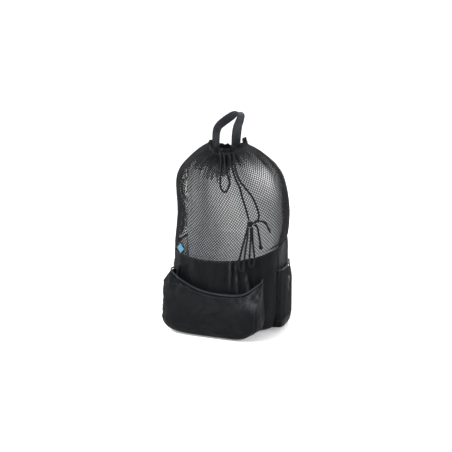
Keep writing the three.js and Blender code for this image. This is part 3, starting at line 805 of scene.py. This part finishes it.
def knitNet(name, rowLines, yarns, closed, thickness, fromShare=0.0, startRow=lambda share: 0):
    # rowLines holds a line across the net for each half cell of height; fromShare leaves out both ends,
    # and startRow says where the yarn at a share of the way begins
    lines = []
    kept = np.arange(math.floor(fromShare * yarns), math.ceil((1 - fromShare) * yarns))
    for row, line in enumerate(rowLines):
        swing = np.where((kept + row) % 2 == 0, 1, -1) * 0.5 * (1 - net["touch"])
        shares = (kept + 0.5 + swing) / yarns
        lines.append(pointsAt(line, shares % 1 if closed else np.clip(shares, 0, 1)))
    points = np.stack(lines, axis=1)
    rows = len(rowLines)
    starts = [startRow(place / yarns) for place in kept]
    edges = [(k * rows + r, k * rows + r + 1) for k in range(len(kept)) for r in range(starts[k], rows - 1)]
    piece = addPiece(name, points.reshape(-1, 3), edges=edges)
    modifier = piece.modifiers.new("yarns", "NODES")
    modifier.node_group = knitter
    setInputs(modifier, {"Thickness": thickness, "Sides": net["sides"]})
    plainMesh(piece)
    piece.data.shade_smooth()
    print(name, "triangles", sum(len(p.vertices) - 2 for p in piece.data.polygons))
    return piece


def makePanel(loops):
    # the panel goes on down inside the tub
    sink = outward(loops[0]) * panel["downIn"] + (0, 0, panel["down"])
    below = [loops[0] - sink * share for share in np.linspace(1, 0, panel["downRows"], endpoint=False)]
    shares = np.linspace(-panel["half"], panel["half"], panel["columns"] + 1)
    outer = np.stack([pointsAt(loop, shares % 1) for loop in [*below, *loops]])
    rows, columns = outer.shape[:2]
    flat = outer.reshape(-1, 3)
    out = outward(flat)
    creased = flat + out * panel["wrinkle"] * wrinkles(flat, panel["wrinkleSize"], seed=6.1)[:, None]
    points = np.concatenate([creased, creased - out * panel["wall"]])
    count = rows * columns
    faces = []
    for r in range(rows - 1):
        for c in range(columns - 1):
            low, high = r * columns + c, (r + 1) * columns + c
            corners = [low, high, high + 1, low + 1]
            faces.append(tuple(reversed(corners)))
            faces.append(tuple(k + count for k in corners))
    rim = [*range(columns)] + [r * columns + columns - 1 for r in range(1, rows)]
    rim += [(rows - 1) * columns + c for c in reversed(range(columns - 1))]
    rim += [r * columns for r in reversed(range(1, rows - 1))]
    for a, b in zip(rim, rim[1:] + rim[:1]):
        faces.append((b, a, a + count, b + count))
    piece = addPiece("back_panel_cloth", points, faces)
    piece.data.shade_smooth()
    wrapUv(piece)
    finishPiece(piece, "black_nylon", nylon)
    piece.data.materials.append(coating)
    top = count + round(panel["coatedTo"] * rows) * columns
    inside = [min(face.vertices) >= count and max(face.vertices) < top for face in piece.data.polygons]
    piece.data.polygons.foreach_set("material_index", np.array(inside, int))
    edges = [np.array([pointsAt(loop, [side * panel["sewn"] % 1])[0] for loop in loops]) for side in (1, -1)]
    sew("panel_stitches", [edge + outward(edge) * panel["stitchLift"] for edge in edges], "black_nylon")


def tucked(up, angle):
    # a line up the wall that starts inside the tub's rim and ends inside the mouth hem
    out = np.array([math.cos(angle), math.sin(angle), 0])
    start = up[0] - out * net["tuckIn"]
    end = up[-1] - out * net["hemIn"] + (0, 0, net["hemUp"])
    leftOut = round(net["tuckUp"] / lineStep)
    return np.concatenate([[start - (0, 0, net["tuckDown"]), start], up[leftOut:], [end]])


def makeNeckShade(grid, yarns):
    # painted shade: a second layer of net yarns that darkens the neck
    first = round(neckShade["from"] * (len(grid) - 1))
    inner = [np.concatenate([row[1:], row[:2]]) for row in grid[first:]]

    def startRow(share):
        aside = min(abs(share - 0.5) / neckShade["spread"], 1)
        scatter = math.sin(share * yarns * 12.9) * 437.5 % 1  # an even scatter from 0 to 1 with no seed
        start = (neckShade["rise"] * aside + neckShade["ragged"] * scatter) * len(inner)
        return int(np.clip(start, 0, len(inner) - neckShade["leastRows"]))

    piece = knitNet("neck_shade_yarns", inner, yarns, True, neckShade["yarn"], panel["half"], startRow)
    finishPiece(piece, "black_net", yarn)


def makeNetBody():
    guide = softCopy("net_body", "net_guide", net["levels"])
    tree = treeOf(guide)
    bpy.data.objects.remove(guide)
    low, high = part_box("net_body")
    angles = math.pi / 2 + np.linspace(0, 2 * math.pi, net["lines"], endpoint=False)
    ups = [tucked(upLine(tree, net["axis"], angle, low.z, high.z), angle) for angle in angles]
    tall = np.mean([lengthAlong(up)[-1] for up in ups])
    rows = 2 * round(tall / net["cellHeight"])
    shares = np.linspace(0, 1, rows + 1)
    grid = np.stack([pointsAt(up, shares) for up in ups], axis=1)
    turns = (angles - angles[0])[None, :]
    eased = 1 - (1 - netShares["easeTo"]) * ramp(shares, *netShares["ease"])
    drawn = (ramp(shares, *netShares["gather"]) * eased)[:, None]
    ruffle = sum(g["depth"] * mm * np.cos(g["count"] * turns + g["turn"]) for g in gathers) * drawn
    flat = grid.reshape(-1, 3)
    out = outward(flat).reshape(grid.shape)
    soft = net["soft"] * crumple(flat, net["softSize"], stretch=1.6, seed=7.7).reshape(ruffle.shape)
    soft *= (ramp(shares, *netShares["softIn"]) * (1 - ramp(shares, *netShares["softOut"])))[:, None]
    grid = grid + out * (ruffle + soft)[:, :, None]
    loops = [np.concatenate([row, row[:1]]) for row in grid]
    around = lengthAlong(loops[len(loops) // 3])[-1]
    yarns = 2 * round(around / net["cellWidth"])
    piece = knitNet("net_yarns", loops, yarns, True, net["yarn"], panel["half"])
    finishPiece(piece, "black_net", yarn, "net_body")
    makePanel(loops)
    makeNeckShade(grid - out * neckShade["depth"], yarns)


makeNetBody()
print("net knitted")


# Mouth hem: a stitched band that the cord gathers into ruffles

hem = {"levels": 2, "axis": (-0.008, 0), "height": 18 * mm, "flare": (2 * mm, 20 * mm), "foot": 0.35,
       "wave": 1.4 * mm, "waves": 19, "left": (0.2, 0.9), "leftRise": 0.4, "right": (0.35, 0.75),
       "points": 8.4, "pointDip": 0.5, "girthRadius": 0.05, "rowsFromTop": (3.5 * mm, 13 * mm)}
ruffles = [
    {"count": 29, "depth": 1.3, "turn": 0.9},
    {"count": 47, "depth": 0.9, "turn": 2.6},
    {"count": 11, "depth": 1.6, "turn": 4.1},
]


def makeHem():
    piece = softCopy("mouth_hem", "mouth_hem_cloth", hem["levels"])
    points = meshPoints(piece)
    low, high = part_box("mouth_hem")
    middle = np.array([(low.x + high.x) / 2, (low.y + high.y) / 2, 0])
    away = (points - middle) * (1, 1, 0)
    turns = np.arctan2(away[:, 1], away[:, 0])
    saddle = (high.z - low.z - hem["height"]) / 2
    rise = points[:, 2] - (low.z + saddle) - saddle * np.cos(2 * turns)
    spread = ramp(rise, *hem["flare"])
    move = sum(r["depth"] * mm * np.cos(r["count"] * turns + r["turn"]) for r in ruffles)
    points = points + unit(away) * (move * (hem["foot"] + (1 - hem["foot"]) * spread))[:, None]
    points[:, 2] += hem["wave"] * np.cos(hem["waves"] * turns + 1) * spread
    # the left side stands lower, and the right side ends in points
    left = ramp(-np.cos(turns), *hem["left"])
    right = ramp(np.cos(turns), *hem["right"])
    dip = hem["pointDip"] * (0.5 - 0.5 * np.cos(hem["points"] * turns))
    points[:, 2] -= np.clip(rise, 0, None) * (left * (1 - hem["leftRise"]) + right * dip)
    setPoints(piece, points)
    wrapUv(piece, hem["girthRadius"])
    finishPiece(piece, "black_nylon", nylon, "mouth_hem")
    return piece


hemPiece = makeHem()
print("mouth hem made")


# Front pocket: a boxed pouch of the same nylon, with a binding over its top edge

pocket = {"levels": 3, "crumple": 2 * mm, "crumpleSize": 38 * mm, "wrinkle": 1.7 * mm,
          "wrinkleSize": (62 * mm, 40 * mm, 22 * mm), "axis": (-0.008, -0.07),
          "smoothFoot": (3 * mm, 20 * mm), "freeFront": (0.085, 0.115), "puffFront": (0.07, 0.09),
          "edgeAngle": -28, "edgeWidth": 0.9, "edgeRise": 1.6 * mm, "edgeStitches": (-2.2, 2.2),
          "sewnFrom": 184, "sewnTo": 357}
# folds on the pocket's face: where each starts and ends across and up, how wide and how deep it is, in mm
pocketFolds = [
    {"start": (-128, 120), "end": (-70, 62), "width": 6, "depth": 3},
    {"start": (-96, 116), "end": (-48, 84), "width": 5, "depth": -2.2},
    {"start": (-60, 98), "end": (10, 80), "width": 5, "depth": 2},
    {"start": (20, 88), "end": (78, 96), "width": 5, "depth": 2.2},
    {"start": (108, 100), "end": (56, 52), "width": 6, "depth": 2.8},
    {"start": (100, 34), "end": (42, 58), "width": 5, "depth": -2},
    {"start": (-110, 36), "end": (-52, 30), "width": 5, "depth": 2.4},
    {"start": (-40, 24), "end": (34, 34), "width": 5, "depth": -1.8},
    {"start": (-20, 66), "end": (36, 44), "width": 6, "depth": 1.8},
]
# where the cloth puffs out under the top edge: angle and width in degrees, how far in mm, and how strong the
# painted highlight on its ridge is
pocketPuffs = [
    {"angle": -155, "width": 13, "out": 7.5, "highlight": 0.25},
    {"angle": -28, "width": 12, "out": 5, "highlight": 0.6},
    {"angle": -18, "width": 9, "out": 0, "highlight": 0.8},
]
# distances below the top edge over which the puffs and the painted highlights on their ridges come and go
puffDepths = {"swell": (1 * mm, 9 * mm), "sink": (10 * mm, 48 * mm), "highlight": (0, 3 * mm),
              "fade": (8 * mm, 36 * mm)}
foldFade = (0.12, 0.88)  # a fold on the face keeps this much of its depth's curve at its ends


def puffOut(points, angles):
    # how far puffs push points out and how strong their painted highlight is, by their distance below the
    # top edge
    turns = np.round(angles).astype(int)
    tops = {turn: points[turns == turn, 2].max() for turn in np.unique(turns)}
    below = np.interp(angles, list(tops), list(tops.values())) - points[:, 2]
    swell = ramp(below, *puffDepths["swell"]) * (1 - ramp(below, *puffDepths["sink"]))
    wornAndHighlight = ramp(below, *puffDepths["highlight"]) * (1 - ramp(below, *puffDepths["fade"]))
    out, highlight = np.zeros(len(points)), np.zeros(len(points))
    for puff in pocketPuffs:
        share = np.exp(-((angles - puff["angle"]) / puff["width"]) ** 2)
        out += puff["out"] * mm * swell * share
        highlight += puff["highlight"] * wornAndHighlight * share
    return out, highlight


def faceFolds(points, folds):
    # how far folds on a front face draw points inwards
    spots = points[:, (0, 2)] / mm
    shift = np.zeros(len(points))
    for fold in folds:
        start, way = np.array(fold["start"]), np.subtract(fold["end"], fold["start"])
        share = np.clip((spots - start) @ way / way.dot(way), 0, 1)
        away = np.linalg.norm(spots - start - share[:, None] * way, axis=1)
        fade = np.sin(math.pi * np.clip(share, *foldFade))
        shift += fold["depth"] * mm * fade * np.exp(-(away / fold["width"]) ** 2)
    return shift


def makePocket():
    piece = softCopy("front_pocket", "front_pocket_cloth", pocket["levels"])
    points = meshPoints(piece)
    away = unit((points - (*pocket["axis"], 0)) * (1, 1, 0))
    standing = ramp(points[:, 2], *pocket["smoothFoot"]) * ramp(-points[:, 1], *pocket["freeFront"])
    angles = np.degrees(np.arctan2(away[:, 1], away[:, 0]))
    edge = pocket["edgeRise"] * np.exp(-((angles - pocket["edgeAngle"]) / pocket["edgeWidth"]) ** 2)
    move = pocket["crumple"] * crumple(points, pocket["crumpleSize"], stretch=1.3, seed=5.5)
    move += pocket["wrinkle"] * wrinkles(points, pocket["wrinkleSize"], seed=8.4)
    move -= faceFolds(points, pocketFolds)
    puff, highlight = puffOut(points, angles)
    # painted highlight: the puffs' ridges under the top edge are drawn paler
    setPaintedHighlight(piece, highlight * unevenHighlight(points))
    puff *= ramp(-points[:, 1], *pocket["puffFront"])
    points = points + away * ((move + edge) * standing + puff)[:, None]
    setPoints(piece, points + sewnOn(points, tubTree))
    wrapUv(piece)
    finishPiece(piece, "black_nylon", nylon, "front_pocket")
    return piece


def makeBinding(node, name, levels=2):
    piece = softCopy(node, name, levels)
    points = meshPoints(piece)
    setPoints(piece, points + sewnOn(points, tubTree))
    wrapUv(piece)
    return finishPiece(piece, "black_webbing", webbing, node)


pocketPiece = makePocket()
pocketBinding = makeBinding("front_pocket_binding", "front_pocket_binding_tape")
print("front pocket made")


# Side pockets: net like the bag's above a nylon foot, with an elastic hem

sidePocket = {"footTop": 32 * mm, "levels": 2, "crisp": 0.7, "from": -26, "to": 42, "angleStep": 0.5,
              "overlap": 2 * mm, "flatFrom": 60 * mm, "flatTo": 140 * mm}
# how far the elastic draws each pocket's top flat to the tub
drawnFlat = {"right": 0, "left": 0.55}


def layFlat(piece, share):
    # the upper part of an empty pocket lies back to the tub
    points = meshPoints(piece)
    lie = share * ramp(points[:, 2], sidePocket["flatFrom"], sidePocket["flatTo"])
    setPoints(piece, points + (nearestOn(tubTree, points) - points) * lie[:, None])


def cutOff(piece, height):
    # takes away what is above a height and closes the cut
    shape = bmesh.new()
    shape.from_mesh(piece.data)
    cut = bmesh.ops.bisect_plane(shape, geom=[*shape.verts, *shape.edges, *shape.faces], clear_outer=True,
                                 plane_co=(0, 0, height), plane_no=(0, 0, 1))
    bmesh.ops.holes_fill(shape, edges=[e for e in cut["geom_cut"] if isinstance(e, bmesh.types.BMEdge)])
    shape.to_mesh(piece.data)
    shape.free()


def makeSidePocket(side, facing):
    node = "side_pocket_" + side
    foot = softCopy(node, node + "_foot", sidePocket["levels"], sidePocket["crisp"])
    points = meshPoints(foot)
    setPoints(foot, points + sewnOn(points, tubTree))
    layFlat(foot, drawnFlat[side])
    tree = treeOf(foot)
    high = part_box(node)[1]
    turn = 1 if facing == 0 else -1
    degrees = np.arange(sidePocket["from"], sidePocket["to"], sidePocket["angleStep"])
    angles = facing + turn * np.radians(degrees)
    footTop, overlap = sidePocket["footTop"], sidePocket["overlap"]
    rows = 2 * round((high.z - footTop) / net["cellHeight"])
    rowLines = []
    for height in np.linspace(footTop - overlap, high.z - overlap, rows + 1):
        hits = [hit for angle in angles if (hit := outerHit(tree, (0, 0), angle, height))]
        sewn = [tubTree.find_nearest(hits[end])[0] for end in (0, -1)]  # both ends turn in to the tub
        rowLines.append(np.array([sewn[0], *hits, sewn[1]]))
    across = lengthAlong(rowLines[rows // 2])[-1]
    piece = knitNet(node + "_yarns", rowLines, 2 * round(across / net["cellWidth"]), False, net["yarn"])
    finishPiece(piece, "black_net", yarn, node)
    cutOff(foot, footTop)
    wrapUv(foot)
    finishPiece(foot, "black_nylon", nylon)
    elastic = makeBinding(node + "_hem", node + "_elastic")
    layFlat(elastic, drawnFlat[side])
    edge = sewLine(treeOf(elastic), (0, 0), angles, low=0.15, high=0.17, fromTop=2.5 * mm)
    join = sewLine(treeOf(foot), (0, 0), angles, low=0.012, high=0.04, fromTop=3 * mm)
    sew(node + "_stitches", [edge, join], "black_net")


makeSidePocket("right", 0)
makeSidePocket("left", math.pi)
print("side pockets made")


# Webbing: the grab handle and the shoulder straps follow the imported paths, in mm and degrees

handle = {"width": 32 * mm, "thickness": 4 * mm, "ribs": 8, "rib": 0.12, "ribPoints": 6, "squareness": 14,
          "sewn": 0.82, "curveSteps": 10}
handlePath = [
    (-40, 1, 452, -10), (-40, 2, 482, -14), (-37, 5, 499, -20), (-27, 8, 511, -30), (-10, 11, 524, -32),
    (4, 14, 534, -24), (14, 16, 538, -6), (21, 15, 532, 10), (19, 12, 519, 19), (15, 8, 505, 24),
    (13, 4, 485, 26), (12, 1, 452, 22),
]
strap = {"levels": 2, "edge": 3 * mm, "across": 1 * mm, "step": 4 * mm, "fromFoot": 4 * mm,
         "fromTop": 10 * mm, "behind": 20 * mm}


def bandSection(make):
    # half width and half thickness shares round a ribbed band with rounded edges
    across = np.linspace(-1, 1, make["ribPoints"] * make["ribs"] + 1)
    edge = np.sqrt(np.clip(1 - np.abs(across) ** make["squareness"], 0, 1))
    rise = edge * (1 - make["rib"] * (0.5 + 0.5 * np.cos(math.pi * across * make["ribs"])))
    top = np.stack([across, rise], axis=1)
    return np.concatenate([top[:-1], -top[:-1]])


def makeBand(name, make, path, widthWays):
    along = lengthAlong(path)
    tangents = unit(np.gradient(path, axis=0))
    section = bandSection(make)
    half, thick = make["width"] / 2, make["thickness"] / 2
    points, sewn = [], {1: [], -1: []}
    for centre, tangent, (way, twist) in zip(path, tangents, widthWays):
        width = way - tangent * way.dot(tangent)
        width /= np.linalg.norm(width)
        turn = math.radians(twist)
        width = width * math.cos(turn) + np.cross(tangent, width) * math.sin(turn)
        depth = np.cross(tangent, width)
        points += [centre + width * half * w + depth * thick * d for w, d in section]
        for face in sewn:
            top = centre + depth * thick * face
            sewn[face].append([top + width * half * edge for edge in (-make["sewn"], make["sewn"])])
    count = len(section)
    piece = addPiece(name, points, tubeFaces(len(path), count))
    layer = piece.data.uv_layers.new(name="cloth")
    for face in piece.data.polygons:
        for loop, vertex in zip(face.loop_indices, face.vertices):
            layer.data[loop].uv = (section[vertex % count][0] * half, along[vertex // count])
    piece.data.shade_smooth()
    lines = [np.array([pair[edge] for pair in sewn[face]]) for face in sewn for edge in (0, 1)]
    return piece, lines


def makeHandle():
    rows = catmull(handlePath, handle["curveSteps"])
    ways = [(np.array([0.0, 1, 0]), twist) for twist in rows[:, 3]]
    piece, lines = makeBand("grab_handle_webbing", handle, rows[:, :3] * mm, ways)
    finishPiece(piece, "black_webbing", webbing, "grab_handle")
    sew("grab_handle_stitches", lines, "black_webbing")


def makeStrap(side):
    node = "shoulder_strap_" + side
    piece = softCopy(node, node + "_webbing", strap["levels"])
    points = meshPoints(piece)
    layer = piece.data.uv_layers.new(name="cloth")
    for corner in piece.data.loops:
        layer.data[corner.index].uv = (points[corner.vertex_index, 0], points[corner.vertex_index, 2])
    finishPiece(piece, "black_webbing", webbing, node)
    tree = treeOf(piece)
    low, high = points.min(axis=0), points.max(axis=0)
    places = np.arange(low[0], high[0], strap["across"])
    back = high[1] + strap["behind"]
    inset = round(strap["edge"] / strap["across"])
    lift = (0, stitchMake["lift"], 0)
    lines = ([], [])
    for height in np.arange(low[2] + strap["fromFoot"], high[2] - strap["fromTop"], strap["step"]):
        hits = [tree.ray_cast(Vector((x, back, height)), Vector((0, -1, 0)))[0] for x in places]
        hits = [np.array(hit) for hit in hits if hit]
        if len(hits) > 2 * inset:
            lines[0].append(hits[inset] + lift)
            lines[1].append(hits[-inset - 1] + lift)
    sew(node + "_stitches", lines, "black_webbing")


makeHandle()
makeStrap("right")
makeStrap("left")
print("handle and straps made")


# Label: a bare satin tab sewn down along its edge

label = {"belly": 0.7 * mm, "corner": 0.28667, "edge": 0.5, "turns": 48,
         "rings": (0.25, 0.5, 0.75, 0.9, 0.97, 1), "sewn": 0.84, "threadLift": 1.2, "border": 0.92}


def makeLabel():
    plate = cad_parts["label_tab"].data
    corners = np.array([v.co for v in plate.vertices])
    middle = (corners.min(axis=0) + corners.max(axis=0)) / 2
    out = np.array(max(plate.polygons, key=lambda face: (face.area, face.normal.y < 0)).normal)
    out *= -np.sign(out[1])
    up = np.array([0, 0, 1.0])
    across = np.cross(up, out)
    half = np.abs((corners - middle) @ across).max()
    tall = np.abs((corners - middle) @ up).max()
    thick = np.abs((corners - middle) @ out).max()

    def spot(ring, turn, face):
        # a diamond with rounded corners: ring 0 is its middle and 1 its edge
        power = 2 / (1 + label["corner"])
        c, s = math.cos(turn), math.sin(turn)
        size = (abs(c) ** (2 / power) + abs(s) ** (2 / power)) ** (-power / 2)
        swell = label["belly"] * (1 - ring ** 2) + thick * face * (1 if ring < 1 else label["edge"])
        return middle + ring * size * (c * half * across + s * tall * up) + out * swell

    turns = np.linspace(0, 2 * math.pi, label["turns"], endpoint=False)
    rings = label["rings"]
    points = [spot(ring, turn, 1) for ring in rings for turn in turns]
    points += [spot(ring, turn, -1) for ring in reversed(rings) for turn in turns]
    points += [spot(0, 0, 1), spot(0, 0, -1)]
    count, last = len(turns), 2 * len(rings) - 1
    faces = []
    for k in range(count):
        after = (k + 1) % count
        faces.append((len(points) - 2, k, after))
        faces += [(r * count + k, (r + 1) * count + k, (r + 1) * count + after, r * count + after)
                  for r in range(last)]
        faces.append((len(points) - 1, last * count + after, last * count + k))
    piece = addPiece("label_satin", points, faces)
    piece.data.shade_smooth()
    finishPiece(piece, "blue_label", satin, "label_tab")
    piece.data.materials.append(nylon)
    centres = np.array([face.center for face in piece.data.polygons]) - middle
    border = np.abs(centres @ across) / half + np.abs(centres @ up) / tall > label["border"]
    piece.data.polygons.foreach_set("material_index", border.astype(int))
    ring = [spot(label["sewn"], turn, label["threadLift"]) for turn in [*turns, 2 * math.pi]]
    sew("label_stitches", [ring], "blue_label")


makeLabel()
print("label made")


# Rows of stitches on the seams

allRound = np.radians(np.arange(0, 361, 2))  # every second degree
hemTree = treeOf(hemPiece)
pocketTree = treeOf(pocketPiece)
pocketFront = np.radians(np.arange(pocket["sewnFrom"], pocket["sewnTo"]))
edgeAngles = [math.radians(pocket["edgeAngle"] + off) for off in pocket["edgeStitches"]]
sew("tub_stitches", [sewLine(tubTree, (0, 0), allRound, low=0.15, high=0.24, fromTop=3 * mm)], "black_nylon")
sew("hem_stitches", [sewLine(hemTree, hem["axis"], allRound, low=0.43, high=0.485, fromTop=row)
                     for row in hem["rowsFromTop"]], "black_nylon")
sew("pocket_stitches", [
    sewLine(treeOf(pocketBinding), pocket["axis"], pocketFront, low=0.095, high=0.17, fromTop=2.4 * mm),
    sewLine(pocketTree, pocket["axis"], pocketFront, low=0.08, high=0.16, fromTop=5 * mm),
    *[upLine(pocketTree, pocket["axis"], angle, low=0.03, high=0.112, step=3 * mm) for angle in edgeAngles],
], "black_nylon")
print("seams sewn")


# Stage and light

stage = {"middle": 0.01, "flat": 3, "bend": 1.5, "bendFrom": 0.1, "bendSteps": 14, "top": 6, "sides": 64}


def makeStage():
    # white paper that bends up all round
    bend = stage["bend"]
    profile = [(stage["middle"], 0), (stage["flat"], 0)]
    profile += [(stage["flat"] + bend * math.sin(t), bend - bend * math.cos(t))
                for t in np.linspace(stage["bendFrom"], math.pi / 2, stage["bendSteps"])]
    profile.append((stage["flat"] + bend, stage["top"]))
    sides = stage["sides"]
    turns = np.linspace(0, 2 * math.pi, sides, endpoint=False)
    points = [(far * math.cos(turn), far * math.sin(turn), rise) for far, rise in profile for turn in turns]
    faces = []
    for low in range(0, (len(profile) - 1) * sides, sides):
        for k in range(sides):
            after = (k + 1) % sides
            faces.append((low + k, low + sides + k, low + sides + after, low + after))
    faces.append(tuple(range(sides)))
    floor = addPiece("floor", points, faces)
    floor.data.shade_smooth()
    floor.data.materials.append(paleFloor())


lamps = [
    {"name": "key", "place": (-0.85, -1.4, 1.7), "size": 0.6, "power": 56},
    {"name": "fill", "place": (1.7, -0.7, 0.9), "size": 0.7, "power": 7},
    {"name": "back", "place": (0.5, 1.7, 1.8), "size": 1.8, "power": 30},
]
studio = {"aim": (0, 0, 0.25), "surround": "#ffffff", "strength": 0.4}


def makeLight():
    for lamp in lamps:
        light = bpy.data.lights.new(lamp["name"], "AREA")
        light.size = lamp["size"]
        light.energy = lamp["power"]
        made = bpy.data.objects.new(lamp["name"], light)
        made.location = lamp["place"]
        toward = Vector(lamp["place"]) - Vector(studio["aim"])
        made.rotation_euler = toward.to_track_quat("Z", "Y").to_euler()
        scene.collection.objects.link(made)
    world = bpy.data.worlds.new("studio")
    world.use_nodes = True
    sky = world.node_tree.nodes["Background"]
    sky.inputs["Color"].default_value = linear(studio["surround"])
    sky.inputs["Strength"].default_value = studio["strength"]
    scene.world = world
    scene.view_settings.view_transform = "Standard"


makeStage()
makeLight()
print("stage lit")
